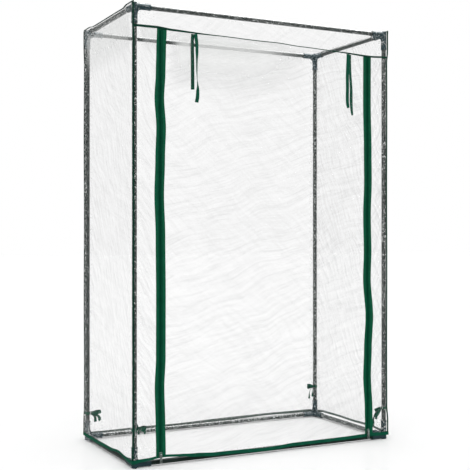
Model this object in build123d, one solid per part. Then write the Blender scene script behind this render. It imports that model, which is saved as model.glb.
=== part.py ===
"""Plug-together tube greenhouse with a clear film cover and a door that gathers up to its seam.

Millimetres. +Z is up, the door faces -Y, and the origin lies on the ground at the centre of
the frame. Each sub-part is written to parts/NAME.step.
"""

from build123d import *

import math
import os

# Frame: three-way plastic connectors at the corners, coated steel tubes between them
WIDTH = 1000.0  # over the connectors, along X
DEPTH = 500.0  # over the connectors, along Y
HEIGHT = 1500.0  # from the ground to the caps of the top connectors
TUBE_OD = 16.0
TUBE_WALL = 0.6
SLEEVE_WALL = 1.9  # plastic around a plugged-in tube
COLLAR_STEP = 0.5  # how far the collar at a socket's mouth stands out
COLLAR_LENGTH = 6.0
SOCKET_CLEARANCE = 0.1  # radial, between a tube and its socket
SOCKET_DEPTH = 38.0
SOCKET_FLOOR = 17.0  # from a connector's centre to the floor of each socket
TUBE_END_GAP = 0.5  # between a tube's end and the socket's floor
FOOT_STAND = 1.5  # how far the flat foot stands below the collars beside it
CAP_CHAMFER = 1.5
WEB_THICKNESS = 8.0  # webs that round the inside corners of a connector
WEB_RADIUS = 14.0
POST_JOINT_Z = 750.0  # where the lower half of a post ends and the upper half begins
SWAGE_LENGTH = 45.0  # reduced end of the lower half, inside the upper half
SWAGE_CLEARANCE = 0.1
SWAGE_TAPER = 6.0  # length over which the bore narrows below the shoulder

# Cover: clear film sewn along green tapes
FILM = 0.2
COVER_GAP = 0.4  # between the connectors and the film
TAPE_GAP = 0.2  # between the film and a tape that lies on it
BINDING_WIDTH = 6.0  # folded tape along the side panels' edges
BINDING_THICKNESS = 1.6
BINDING_OVERHANG = 1.0  # how far it stands past the side film
BINDING_EAR = 8.0  # how far the upright ones rise past the roof
HEM_LOW = 13.0  # the hem's lower edge above the ground
HEM_WIDTH = 12.0
HEM_THICKNESS = 2.0
HEM_GAP = 0.2  # between the connectors and the hem
SEAM_DROP = 86.0  # from the top of the frame to the seam that the door hangs from
PIPING_HEIGHT = 6.0
PIPING_THICKNESS = 2.2

# Zips: one each side of the door
ZIP_INSET = 93.2  # from the side of the frame to the middle of a zip, with the door centred
DOOR_SHIFT = 2.4  # how far to the right of centre the door hangs, with both its zips
ZIP_TAPE_WIDTH = 34.0
ZIP_TAPE_THICKNESS = 0.7
ZIP_FILM_LAP = 6.0  # how far the tape lies over the film's edge
COIL_WIDTH = 6.0
COIL_HEIGHT = 2.0
COIL_SPLIT = 1.8  # clear width between the two halves, where the slider's neck runs
COIL_END_GAP = 3.0  # from the piping to the coil's top stop
SLIDER_HEIGHT = 16.0
SLIDER_FLANGE = 1.85  # thickness of the walls that close round the coil
SLIDER_FLARE = 1.0  # how much wider each side is at the end with the neck
SLIDER_PLATE = 1.6
SLIDER_EDGE_R = 0.6
SLIDER_CLEARANCE = 0.4  # around the coil and in front of the tape
SLIDER_BACK_PLATE = 1.1
SLIDER_BACK_WIDTH = 9.0
SLIDER_BACK_R = 1.5
SLIDER_NECK_GAP = 0.2  # each side of the neck, between the halves of the coil
SLIDER_NECK_HEIGHT = 5.0
SLIDER_REST_GAP = 4.0  # from the hem to the slider with the zip closed
PULL_PIN_R = 1.0
PULL_PIN_CLEARANCE = 0.1
PULL_EYE_R = 2.0
PULL_EYE_WIDTH = 4.4
PULL_LUG = 1.2  # thickness of each lug beside the eye
PULL_LUG_GAP = 0.3
PULL_LENGTH = 28.0
PULL_WIDTH = 8.0
PULL_THICKNESS = 1.4
PULL_SHOULDER = 4.0  # from the pin to where the tab widens
PULL_SLOT = (3.4, 9.0)  # width and length of the hole through the tab

# Ties: woven ribbons that hold the gathered door, and that tie the cover to the posts
RIBBON_WIDTH = 12.0
RIBBON_THICKNESS = 0.8
OUTER_TIE_GAP = 1.0  # in front of the piping
INNER_TIE_GAP = 1.0  # behind the film
TIE_TOP_GAP = 1.0  # under the piping
POST_TIE_GAP = 0.3  # between the ribbon round a post and the post
POST_TIE_WRAP = 1.0  # thickness of the ribbon round a post
KNOT_R = 6.5
BOW_REACH = 34.0
BOW_THICKNESS = 4.0
BOW_DROOP = 25.0  # degrees below level
TAIL_LENGTH = 52.0
TAIL_SPLAY = 12.0  # degrees from vertical
TAIL_GAP = 1.5  # from the tails to the connector's collar below them

# From each zip to the pair of door ribbons beside it, the lengths of the outer and the inner
# ribbon, and how far the outer one hangs right of the pair's middle; the inner one hangs as far left
DOOR_TIES = {
    "left": (121.5, 230.0, 186.0, 4.0),
    "right": (78.2, 197.0, 220.0, -9.0),
}

# Height of each post's knot, and the way its bow points: degrees from +X, seen from above
POST_TIES = {
    "front_left": (122.0, 20.0),
    "front_right": (112.0, 165.0),
    "back_left": (96.0, -35.0),
    "back_right": (124.0, -160.0),
}

# Worked out from the values above
TUBE_R = TUBE_OD / 2
TUBE_BORE_R = TUBE_R - TUBE_WALL
SOCKET_R = TUBE_R + SOCKET_CLEARANCE
SLEEVE_R = SOCKET_R + SLEEVE_WALL
COLLAR_R = SLEEVE_R + COLLAR_STEP
ARM = SOCKET_FLOOR + SOCKET_DEPTH
TUBE_START = SOCKET_FLOOR + TUBE_END_GAP
AXIS_X = WIDTH / 2 - COLLAR_R
AXIS_Y = DEPTH / 2 - COLLAR_R
CAP_HEIGHT = COLLAR_R + FOOT_STAND
AXIS_LOW = CAP_HEIGHT
AXIS_HIGH = HEIGHT - CAP_HEIGHT

SIDE_IN = WIDTH / 2 + COVER_GAP  # inner faces of the film
FRONT_IN = DEPTH / 2 + COVER_GAP
ROOF_IN = HEIGHT + COVER_GAP
SIDE_OUT = SIDE_IN + FILM
FRONT_OUT = FRONT_IN + FILM
ROOF_OUT = ROOF_IN + FILM
HEM_TOP = HEM_LOW + HEM_WIDTH
SEAM_Z = HEIGHT - SEAM_DROP
TAPE_IN = FRONT_OUT + TAPE_GAP  # a tape's face towards the film
BINDING_OUT = SIDE_OUT + BINDING_OVERHANG
BINDING_IN = BINDING_OUT - BINDING_WIDTH
HEM_IN_X = WIDTH / 2 + HEM_GAP
HEM_IN_Y = DEPTH / 2 + HEM_GAP
HEM_OUT_X = HEM_IN_X + HEM_THICKNESS
PIPING_LOW = SEAM_Z - PIPING_HEIGHT / 2
PIPING_OUT = TAPE_IN + PIPING_THICKNESS

ZIP_LEFT = DOOR_SHIFT + ZIP_INSET - WIDTH / 2
ZIP_RIGHT = DOOR_SHIFT - ZIP_INSET + WIDTH / 2
TAPE_OUT = TAPE_IN + ZIP_TAPE_THICKNESS
COIL_OUT = TAPE_OUT + COIL_HEIGHT
SLIDER_IN = COIL_OUT + SLIDER_CLEARANCE
SLIDER_OUT = SLIDER_IN + SLIDER_PLATE
PIN_Y = SLIDER_OUT + PULL_LUG_GAP + PULL_EYE_R
SLIDER_Z = HEM_TOP + SLIDER_REST_GAP + SLIDER_HEIGHT / 2
FILM_EDGE = ZIP_TAPE_WIDTH / 2 - ZIP_FILM_LAP  # from a zip's middle to the film beside it

CORNER = (Align.MIN, Align.MIN, Align.MIN)
STANDING = (Align.CENTER, Align.CENTER, Align.MIN)
HANGING = (Align.CENTER, Align.CENTER, Align.MAX)
REACHING = (Align.MIN, Align.CENTER, Align.CENTER)
ALONG_X = Rot(0, 90, 0)
ALONG_Y = Rot(-90, 0, 0)


def block(x, y, z):
    """A box from three (low, high) pairs."""
    size = [high - low for low, high in (x, y, z)]
    return Pos(x[0], y[0], z[0]) * Box(*size, align=CORNER)


def rod(radius, start, end):
    """A cylinder on the Z axis."""
    return Pos(0, 0, start) * Cylinder(radius, end - start, align=STANDING)


def mirrored(shape, left, back=False, top=False):
    """The copy of a right, front, bottom piece for the other side, the back or the top."""
    if left:
        shape = mirror(shape, Plane.YZ)
    if back:
        shape = mirror(shape, Plane.XZ)
    if top:
        shape = mirror(shape, Plane.XY)
    return shape


# Frame


def socket_web():
    """A web in the XY plane that rounds the corner between the +X and the +Y arm."""
    reach = SLEEVE_R + WEB_RADIUS
    plate = Rectangle(reach, reach, align=(Align.MIN, Align.MIN))
    plate -= Pos(reach, reach) * Circle(WEB_RADIUS)
    return extrude(plate, WEB_THICKNESS / 2, both=True)


def corner_connector():
    """Three-way connector about its centre: sockets open to +X, +Y and +Z, flat foot at -Z."""
    arm = rod(SLEEVE_R, 0, ARM) + rod(COLLAR_R, ARM - COLLAR_LENGTH, ARM)
    foot = rod(SLEEVE_R, -CAP_HEIGHT, 0)
    foot = chamfer(foot.edges().sort_by(Axis.Z)[0], CAP_CHAMFER)
    body = foot + arm + ALONG_X * arm + ALONG_Y * arm
    web = socket_web()
    body += web + Rot(90, 0, 0) * web + Rot(0, -90, 0) * web
    bore = rod(SOCKET_R, SOCKET_FLOOR, ARM)
    return body - bore - ALONG_X * bore - ALONG_Y * bore


def tube(length):
    return rod(TUBE_R, 0, length) - rod(TUBE_BORE_R, 0, length)


def swaged_tube(length):
    """A tube whose top end is drawn down beyond a square shoulder, to plug into the next."""
    plug_r = TUBE_BORE_R - SWAGE_CLEARANCE
    profile = Polyline(
        (TUBE_BORE_R, 0),
        (TUBE_R, 0),
        (TUBE_R, length),
        (plug_r, length),
        (plug_r, length + SWAGE_LENGTH),
        (plug_r - TUBE_WALL, length + SWAGE_LENGTH),
        (plug_r - TUBE_WALL, length),
        (TUBE_BORE_R, length - SWAGE_TAPER),
        close=True,
    )
    return revolve(Plane.XZ * make_face(profile), Axis.Z)


def frame_parts():
    parts = {}
    connector = corner_connector()
    lower = swaged_tube(POST_JOINT_Z - AXIS_LOW - TUBE_START)
    upper = tube(AXIS_HIGH - TUBE_START - POST_JOINT_Z)
    for back in (False, True):
        y = AXIS_Y if back else -AXIS_Y
        for left in (False, True):
            x = -AXIS_X if left else AXIS_X
            corner = f"{'back' if back else 'front'}_{'left' if left else 'right'}"
            # The sockets of the connector as drawn open towards +X, +Y and +Z.
            for top, z in ((False, AXIS_LOW), (True, AXIS_HIGH)):
                turned = mirrored(connector, not left, back, top)
                parts[f"connector_{corner}_{'top' if top else 'bottom'}"] = Pos(x, y, z) * turned
            parts[f"post_{corner}_lower"] = Pos(x, y, AXIS_LOW + TUBE_START) * lower
            parts[f"post_{corner}_upper"] = Pos(x, y, POST_JOINT_Z) * upper
    long_rail = ALONG_X * Pos(0, 0, TUBE_START - AXIS_X) * tube(2 * (AXIS_X - TUBE_START))
    short_rail = ALONG_Y * Pos(0, 0, TUBE_START - AXIS_Y) * tube(2 * (AXIS_Y - TUBE_START))
    for level, z in (("bottom", AXIS_LOW), ("top", AXIS_HIGH)):
        parts[f"rail_front_{level}"] = Pos(0, -AXIS_Y, z) * long_rail
        parts[f"rail_back_{level}"] = Pos(0, AXIS_Y, z) * long_rail
        parts[f"rail_left_{level}"] = Pos(-AXIS_X, 0, z) * short_rail
        parts[f"rail_right_{level}"] = Pos(AXIS_X, 0, z) * short_rail
    return parts


# Cover


def film_parts():
    front = (-FRONT_OUT, -FRONT_IN)
    full_width = (-SIDE_OUT, SIDE_OUT)
    side = block((SIDE_IN, SIDE_OUT), (-FRONT_IN, FRONT_IN), (HEM_TOP, ROOF_IN))
    door = (ZIP_LEFT + FILM_EDGE, ZIP_RIGHT - FILM_EDGE)
    return {
        "roof_film": block(full_width, (-FRONT_OUT, FRONT_OUT), (ROOF_IN, ROOF_OUT)),
        "back_film": block(full_width, (FRONT_IN, FRONT_OUT), (HEM_TOP, ROOF_IN)),
        "right_film": side,
        "left_film": mirrored(side, True),
        "valance_film": block(full_width, front, (SEAM_Z, ROOF_IN)),
        "front_right_film": block((ZIP_RIGHT + FILM_EDGE, SIDE_OUT), front, (HEM_TOP, SEAM_Z)),
        "front_left_film": block((-SIDE_OUT, ZIP_LEFT - FILM_EDGE), front, (HEM_TOP, SEAM_Z)),
        "door_film": block(door, front, (HEM_TOP + COVER_GAP, SEAM_Z)),
    }


def binding_parts():
    """Tapes folded over the side panels' edges: up the front, along the top, down the back."""
    across = (BINDING_IN, BINDING_OUT)
    upright = block(
        across,
        (-TAPE_IN - BINDING_THICKNESS, -TAPE_IN),
        (HEM_TOP + TAPE_GAP, HEIGHT + BINDING_EAR),
    )
    roof_tape = ROOF_OUT + TAPE_GAP
    top = block(across, (-FRONT_OUT, FRONT_OUT), (roof_tape, roof_tape + BINDING_THICKNESS))
    parts = {}
    for side, left in (("left", True), ("right", False)):
        parts[f"binding_{side}_front"] = mirrored(upright, left)
        parts[f"binding_{side}_top"] = mirrored(top, left)
        parts[f"binding_{side}_back"] = mirrored(upright, left, back=True)
    return parts


def hem_parts():
    """The tape round the cover's lower edge; the door has its own length."""
    level = (HEM_LOW, HEM_TOP)
    front = (-HEM_IN_Y - HEM_THICKNESS, -HEM_IN_Y)
    coil_edge = COIL_SPLIT / 2
    right_end = block((ZIP_RIGHT + coil_edge, HEM_OUT_X), front, level)
    left_end = block((-HEM_OUT_X, ZIP_LEFT - coil_edge), front, level)
    side = block((HEM_IN_X, HEM_OUT_X), (-HEM_IN_Y, HEM_IN_Y), level)
    back = block((-HEM_OUT_X, HEM_OUT_X), (HEM_IN_Y, HEM_IN_Y + HEM_THICKNESS), level)
    return {
        "hem_front": Compound([right_end, left_end]),
        "hem_right": side,
        "hem_left": mirrored(side, True),
        "hem_back": back,
        "hem_door": block((ZIP_LEFT + coil_edge, ZIP_RIGHT - coil_edge), front, level),
        "seam_piping": block(
            (TAPE_GAP - BINDING_IN, BINDING_IN - TAPE_GAP),
            (-PIPING_OUT, -TAPE_IN),
            (PIPING_LOW, PIPING_LOW + PIPING_HEIGHT),
        ),
    }


# Zips, drawn about their own middle line at X = 0


def zip_half():
    """The +X half of a zip: a woven tape with its half of the coil along the edge."""
    top = PIPING_LOW - TAPE_GAP
    inner = COIL_SPLIT / 2
    woven = block((inner, ZIP_TAPE_WIDTH / 2), (-TAPE_OUT, -TAPE_IN), (HEM_TOP + TAPE_GAP, top))
    coil = block(
        (inner, COIL_WIDTH / 2),
        (-COIL_OUT, -TAPE_OUT),
        (HEM_TOP + TAPE_GAP, top - COIL_END_GAP),
    )
    return woven + coil


def zip_slider():
    """Front and back plates joined by a neck, side flanges, and two lugs with the pull's pin."""
    half = SLIDER_HEIGHT / 2
    channel = COIL_WIDTH / 2 + SLIDER_CLEARANCE
    top_half = channel + SLIDER_FLANGE
    low_half = top_half + SLIDER_FLARE
    outline = Polyline(
        (-low_half, -half), (low_half, -half), (top_half, half), (-top_half, half), close=True
    )
    shell_in = TAPE_OUT + SLIDER_CLEARANCE
    shell = extrude(Plane.XZ * make_face(outline), SLIDER_OUT - shell_in)
    shell = fillet(shell.edges().group_by(Axis.Y)[0], SLIDER_EDGE_R)
    shell = Pos(0, -shell_in, 0) * shell
    shell -= block((-channel, channel), (-SLIDER_IN, -shell_in), (-half, half))
    back_out = TAPE_IN - SLIDER_CLEARANCE
    back_in = back_out - SLIDER_BACK_PLATE
    neck_half = COIL_SPLIT / 2 - SLIDER_NECK_GAP
    neck = block(
        (-neck_half, neck_half), (-SLIDER_IN, -back_in), (-half, SLIDER_NECK_HEIGHT - half)
    )
    back_half = SLIDER_BACK_WIDTH / 2
    back_plate = block((-back_half, back_half), (-back_out, -back_in), (-half, half))
    back_plate = fillet(back_plate.edges().filter_by(Axis.Y), SLIDER_BACK_R)
    lug_in = PULL_EYE_WIDTH / 2 + PULL_PIN_CLEARANCE
    lug = Pos(lug_in, -PIN_Y, 0) * ALONG_X * rod(PULL_EYE_R, 0, PULL_LUG)
    lug += block(
        (lug_in, lug_in + PULL_LUG), (-PIN_Y, -SLIDER_OUT), (-PULL_EYE_R, PULL_EYE_R)
    )
    pin = Pos(0, -PIN_Y, 0) * ALONG_X * rod(PULL_PIN_R, -lug_in, lug_in)
    return shell + neck + back_plate + lug + mirrored(lug, True) + pin


def zip_pull():
    """The tab that hangs on the slider's pin, drawn with the pin's axis through the origin."""
    eye_half = PULL_EYE_WIDTH / 2
    eye = ALONG_X * rod(PULL_EYE_R, -eye_half, eye_half)
    stem = block(
        (-eye_half, eye_half),
        (-PULL_THICKNESS / 2, PULL_THICKNESS / 2),
        (-PULL_SHOULDER - PULL_EYE_R, 0),
    )
    tab = block(
        (-PULL_WIDTH / 2, PULL_WIDTH / 2),
        (-PULL_THICKNESS / 2, PULL_THICKNESS / 2),
        (-PULL_LENGTH, -PULL_SHOULDER),
    )
    tab = fillet(tab.edges().filter_by(Axis.Y), PULL_EYE_R)
    slot_width, slot_length = PULL_SLOT
    slot = Plane.XZ * SlotOverall(slot_length, slot_width, rotation=90)
    slot = extrude(slot, PULL_THICKNESS, both=True)
    slot = Pos(0, 0, (slot_length + slot_width) / 2 - PULL_LENGTH) * slot
    pin_hole = ALONG_X * rod(PULL_PIN_R + PULL_PIN_CLEARANCE, -PULL_WIDTH, PULL_WIDTH)
    return eye + stem + tab - slot - pin_hole


def zip_parts():
    stay_half = zip_half()
    door_half = mirrored(stay_half, True)
    slider = Pos(0, 0, SLIDER_Z) * zip_slider()
    pull = Pos(0, -PIN_Y, SLIDER_Z) * zip_pull()
    parts = {}
    for side, left, x in (("left", True, ZIP_LEFT), ("right", False, ZIP_RIGHT)):
        for name, piece in (
            ("stay_half", stay_half),
            ("door_half", door_half),
            ("slider", slider),
            ("pull", pull),
        ):
            parts[f"zip_{side}_{name}"] = Pos(x, 0, 0) * mirrored(piece, left)
    return parts


# Ties


def ribbon(x_middle, y_low, length):
    top = PIPING_LOW - TIE_TOP_GAP
    return block(
        (x_middle - RIBBON_WIDTH / 2, x_middle + RIBBON_WIDTH / 2),
        (y_low, y_low + RIBBON_THICKNESS),
        (top - length, top),
    )


def door_tie_parts():
    outer_y = -PIPING_OUT - OUTER_TIE_GAP - RIBBON_THICKNESS
    inner_y = INNER_TIE_GAP - FRONT_IN
    parts = {}
    for side, (inset, outer_length, inner_length, spread) in DOOR_TIES.items():
        x = ZIP_LEFT + inset if side == "left" else ZIP_RIGHT - inset
        parts[f"door_tie_{side}_outer"] = ribbon(x + spread, outer_y, outer_length)
        parts[f"door_tie_{side}_inner"] = ribbon(x - spread, inner_y, inner_length)
    return parts


def post_tie(bow_angle, seam_angle):
    """Ribbon round a post at Z = 0: sewn to the cover's corner seam, knotted in a bow."""
    half = RIBBON_WIDTH / 2
    loop_in = TUBE_R + POST_TIE_GAP
    loop_out = loop_in + POST_TIE_WRAP
    loop = rod(loop_out, -half, half) - rod(loop_in, -half, half)
    seam_reach = math.hypot(COLLAR_R, COLLAR_R) - POST_TIE_WRAP / 2
    stub = block(
        (loop_in + POST_TIE_WRAP / 2, seam_reach),
        (-RIBBON_THICKNESS / 2, RIBBON_THICKNESS / 2),
        (-half, half),
    )
    knot_x = loop_out + KNOT_R - POST_TIE_WRAP / 2
    knot = Pos(knot_x, 0, 0) * Sphere(KNOT_R)
    bow = Box(BOW_REACH, BOW_THICKNESS, RIBBON_WIDTH, align=REACHING)
    bow = Pos(knot_x, 0, 0) * Rot(0, BOW_DROOP, 0) * bow
    tail = Box(RIBBON_WIDTH, RIBBON_THICKNESS, TAIL_LENGTH, align=HANGING)
    tail_x = COLLAR_R + TAIL_GAP + half
    tails = [Pos(tail_x, 0, 0) * Rot(TAIL_SPLAY * turn, 0, 0) * tail for turn in (-1, 1)]
    knotted = Rot(0, 0, bow_angle) * (knot + bow + tails[0] + tails[1])
    return loop + Rot(0, 0, seam_angle) * stub + knotted


def post_tie_parts():
    parts = {}
    for corner, (height, bow_angle) in POST_TIES.items():
        x = -AXIS_X if "left" in corner else AXIS_X
        y = AXIS_Y if "back" in corner else -AXIS_Y
        seam_angle = math.degrees(math.atan2(y / AXIS_Y, x / AXIS_X))
        parts[f"post_tie_{corner}"] = Pos(x, y, height) * post_tie(bow_angle, seam_angle)
    return parts


def main():
    os.makedirs("parts", exist_ok=True)
    parts = {}
    for group in (
        frame_parts,
        film_parts,
        binding_parts,
        hem_parts,
        zip_parts,
        door_tie_parts,
        post_tie_parts,
    ):
        parts.update(group())
    for name, shape in parts.items():
        export_step(shape, f"parts/{name}.step")
    print(len(parts), "nodes")


main()
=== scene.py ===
"""Clear-film greenhouse on a plug-together tube frame.

Tubes, corner connectors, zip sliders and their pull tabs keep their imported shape. What is sewn is
made here: the creased film, its binding and hem, the zips, the seam piping and the ribbons.
Metres throughout. +Z is up and the door faces -Y.
"""
import math

import bpy
import numpy as np
from mathutils import Matrix, Vector


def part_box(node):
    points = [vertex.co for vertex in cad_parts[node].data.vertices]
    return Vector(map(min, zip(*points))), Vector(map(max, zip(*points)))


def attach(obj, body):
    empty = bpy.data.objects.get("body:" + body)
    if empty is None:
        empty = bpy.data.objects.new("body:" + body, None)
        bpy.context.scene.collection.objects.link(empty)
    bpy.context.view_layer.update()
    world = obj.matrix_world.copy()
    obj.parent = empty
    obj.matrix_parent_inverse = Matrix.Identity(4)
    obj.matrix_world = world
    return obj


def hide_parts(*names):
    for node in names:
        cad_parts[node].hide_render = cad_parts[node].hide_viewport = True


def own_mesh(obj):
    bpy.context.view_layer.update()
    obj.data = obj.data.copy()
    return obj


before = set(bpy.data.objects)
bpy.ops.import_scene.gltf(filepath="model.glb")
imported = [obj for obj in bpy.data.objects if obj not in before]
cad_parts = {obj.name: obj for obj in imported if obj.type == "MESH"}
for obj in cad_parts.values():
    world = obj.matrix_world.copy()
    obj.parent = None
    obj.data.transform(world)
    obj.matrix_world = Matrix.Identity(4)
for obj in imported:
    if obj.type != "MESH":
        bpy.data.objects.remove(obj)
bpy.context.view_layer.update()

FRAME_BODY = "frame_and_cover"


# ---------------------------------------------------------------- sizes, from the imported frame


def middle(node):
    low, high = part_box(node)
    return (low + high) / 2


def size(node):
    low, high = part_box(node)
    return high - low


FILM_FRONT = middle("door_film").y
FILM_BACK = middle("back_film").y
FILM_SIDE = middle("right_film").x
FILM_ROOF = middle("roof_film").z
SEAM_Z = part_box("door_film")[1].z
HEM_Z, HEM_WIDTH, HEM_THICK = middle("hem_back").z, size("hem_back").z, size("hem_back").y
SIDES = (("left", -1), ("right", 1))
ZIP_CENTRE = {side: middle(f"zip_{side}_slider").x for side, _ in SIDES}
STAY_LOW, STAY_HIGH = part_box("zip_right_stay_half")
ZIP_HALF, ZIP_SPLIT = STAY_HIGH.x - ZIP_CENTRE["right"], STAY_LOW.x - ZIP_CENTRE["right"]
ZIP_TOP, TAPE_BACK, COIL_FRONT = STAY_HIGH.z, STAY_HIGH.y, STAY_LOW.y
BINDING_X, BINDING_FRONT, _ = middle("binding_right_front")
BINDING_WIDTH, BINDING_THICK, _ = size("binding_right_front")
BINDING_BACK = middle("binding_right_back").y
BINDING_ROOF = middle("binding_right_top").z
EAR_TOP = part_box("binding_right_front")[1].z
PIPING = middle("seam_piping")

# Detail that the frame does not carry
GRID = 0.005  # spacing of the film's mesh
FILM_BEND = 0.0065  # radius of the film over the top rails
BINDING_BEND = 0.008
ZIP_TAPE_THICK = 0.0007
COIL_PITCH = 0.0024
CORE_EDGE, STRIP_EDGE = 0.0105, 0.0074  # from a zip's middle: core tape's far, strip's near edge
STRIP_STEP = 0.0004  # how far the strip stands in front of the core tape
SEWN_LINES = (0.0088, ZIP_HALF - 0.0021)  # a zip's two rows of stitches, from its middle
EAR_DROP = {"left": 0.0006, "right": 0.0058}  # how far a binding's upper end stops below its level
UP = (0.0, 0.0, 1.0)
STITCH_PITCH, STITCH, STITCH_LEAN = 0.0045, (0.0016, 0.00034, 0.00034), 0.12


# ---------------------------------------------------------------- small geometry tools


def rows_of(*parts):
    """Points from their x, y and z (or any parts), each one value or an array of them."""
    return np.stack(np.broadcast_arrays(*parts), axis=-1).astype(float)


def linked(made):
    bpy.context.scene.collection.objects.link(made)
    return made


def run_along(points):
    """Distance along a line at each of its points."""
    steps = np.linalg.norm(np.diff(np.asarray(points, float), axis=0), axis=1)
    return np.concatenate([[0], np.cumsum(steps)])


def smooth(t):
    t = np.clip(t, 0, 1)
    return t * t * (3 - 2 * t)


def lumps(u, v, size_u, size_v, seed):
    """Smooth random values from -1 to 1, in lumps of the given size."""
    table = np.random.default_rng(seed).uniform(-1, 1, (97, 97))
    a, b = u / size_u + 40, v / size_v + 40
    i, j = np.floor(a).astype(int), np.floor(b).astype(int)
    p, q = smooth(a - i), smooth(b - j)
    near, far = (
        table[i % 97, k % 97] * (1 - p) + table[(i + 1) % 97, k % 97] * p for k in (j, j + 1)
    )
    return near * (1 - q) + far * q


def new_object(name, vertices, faces, uvs=None, edges=()):
    """A smooth-shaded mesh object. uvs holds one (u, v) for each vertex."""
    mesh = bpy.data.meshes.new(name)
    mesh.from_pydata([tuple(v) for v in vertices], list(edges), faces)
    if uvs is not None:
        layer = mesh.uv_layers.new(name="flat")
        corners = np.zeros(len(mesh.loops), int)
        mesh.loops.foreach_get("vertex_index", corners)
        layer.data.foreach_set("uv", np.asarray(uvs, float)[corners].ravel())
    mesh.polygons.foreach_set("use_smooth", [True] * len(mesh.polygons))
    mesh.update()
    return linked(bpy.data.objects.new(name, mesh))


def joined(name, objects):
    """One object from several, keeping their UV maps and materials."""
    bpy.ops.object.select_all(action="DESELECT")
    for one in objects:
        one.select_set(True)
    bpy.context.view_layer.objects.active = objects[0]
    if len(objects) > 1:
        bpy.ops.object.join()
    objects[0].name = name
    objects[0].data.name = name
    return objects[0]


def grid_faces(rows, columns):
    """Quads over a rows x columns grid, turning from the columns' direction to the rows'."""
    first = np.arange(rows - 1)[:, None] * columns + np.arange(columns - 1)[None, :]
    quads = np.stack([first, first + 1, first + columns + 1, first + columns], axis=-1)
    return quads.reshape(-1, 4).tolist()


def resampled(points, step):
    """Points about step apart along a line, ends included."""
    points = np.asarray(points, float)
    run = run_along(points)
    count = max(2, round(run[-1] / step) + 1)
    wanted = np.linspace(0, run[-1], count)
    return np.stack([np.interp(wanted, run, points[:, k]) for k in range(points.shape[1])], axis=1)


def rounded_route(corners, radius, step):
    """A line through 2-D corners with each inner one rounded, in points about step apart."""
    corners = [np.asarray(c, float) for c in corners]
    points = [corners[0]]
    for before, corner, after in zip(corners, corners[1:], corners[2:]):
        into = (before - corner) / np.linalg.norm(before - corner)
        away = (after - corner) / np.linalg.norm(after - corner)
        half_angle = math.acos(np.clip(into @ away, -1, 1)) / 2
        centre_way = (into + away) / np.linalg.norm(into + away)
        centre = corner + centre_way * radius / math.sin(half_angle)
        start = corner + into * radius / math.tan(half_angle) - centre
        end = corner + away * radius / math.tan(half_angle) - centre
        for share in np.linspace(0, 1, 9):
            way = start * (1 - share) + end * share
            points.append(centre + way / np.linalg.norm(way) * radius)
    points.append(corners[-1])
    return resampled(points, step)


def curve_through(points, step):
    """A smooth line through a few chosen points (Catmull-Rom), in points about step apart."""
    knots = [np.asarray(p, float) for p in points]
    knots = [2 * knots[0] - knots[1], *knots, 2 * knots[-1] - knots[-2]]
    line = []
    for p0, p1, p2, p3 in zip(knots, knots[1:], knots[2:], knots[3:]):
        for t in np.linspace(0, 1, 13)[:-1]:
            bow, twist = 2 * p0 - 5 * p1 + 4 * p2 - p3, 3 * p1 - p0 - 3 * p2 + p3
            line.append(0.5 * (2 * p1 + (p2 - p0) * t + bow * t**2 + twist * t**3))
    line.append(knots[-2])
    return resampled(line, step)


def unit(vectors):
    return vectors / np.linalg.norm(vectors, axis=-1, keepdims=True)


def swept(name, path, across, section):
    """A closed strip: section's (a, b) points, a along across and b towards the strip's face.

    across is one direction, or one for each point of the path.
    """
    path, across = np.asarray(path, float), np.asarray(across, float)
    along = unit(np.gradient(path, axis=0))
    across = unit(across - along * (across * along).sum(1, keepdims=True))
    out = np.cross(along, across)
    section = np.asarray(section, float)
    rows, columns = len(path), len(section)
    a, b = section[None, :, :1], section[None, :, 1:]
    grid = path[:, None] + across[:, None] * a + out[:, None] * b
    faces = []
    for start in range(0, (rows - 1) * columns, columns):
        for j in range(columns):
            k = (j + 1) % columns
            faces.append((start + j, start + k, start + columns + k, start + columns + j))
    faces.append(tuple(range(columns))[::-1])
    faces.append(tuple((rows - 1) * columns + j for j in range(columns)))
    uvs = rows_of(section[None, :, 0], run_along(path)[:, None])
    made = new_object(name, grid.reshape(-1, 3), faces, uvs.reshape(-1, 2))
    made.data.shade_smooth()
    return made


def outward(piece):
    """Turns the faces of a closed piece outwards."""
    import bmesh

    work = bmesh.new()
    work.from_mesh(piece.data)
    bmesh.ops.recalc_face_normals(work, faces=work.faces)
    work.to_mesh(piece.data)
    work.free()
    return piece


def folded_tape(width, thick):
    """Section of a tape folded over an edge: round at the fold (+a), thin where it is stitched."""
    w, t = width / 2, thick / 2
    upper = [
        (-w, 0.30 * t), (-0.86 * w, 0.62 * t), (-0.66 * w, 0.50 * t), (-0.48 * w, 0.86 * t),
        (0.10 * w, 1.00 * t), (0.66 * w, 0.96 * t), (0.92 * w, 0.62 * t),
    ]
    return upper + [(w, 0.0)] + [(a, -b) for a, b in reversed(upper)]


def flat_ribbon(width, thick):
    """Section of a woven ribbon: a little crowned, with thicker selvedges."""
    w, t = width / 2, thick / 2
    upper = [(-w, 0.6 * t), (-0.9 * w, t), (-0.76 * w, 0.7 * t), (0, 0.85 * t)]
    upper += [(-a, b) for a, b in reversed(upper[:-1])]
    return upper + [(a, -b) for a, b in reversed(upper)]


def eased(at, table):
    """Smooth value at each place from a short table of (place, value) rows."""
    places, values = np.array(table, float).T
    at = np.clip(at, places[0], places[-1])
    k = np.clip(np.searchsorted(places, at) - 1, 0, len(places) - 2)
    share = smooth((at - places[k]) / (places[k + 1] - places[k]))
    return values[k] * (1 - share) + values[k + 1] * share


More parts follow.
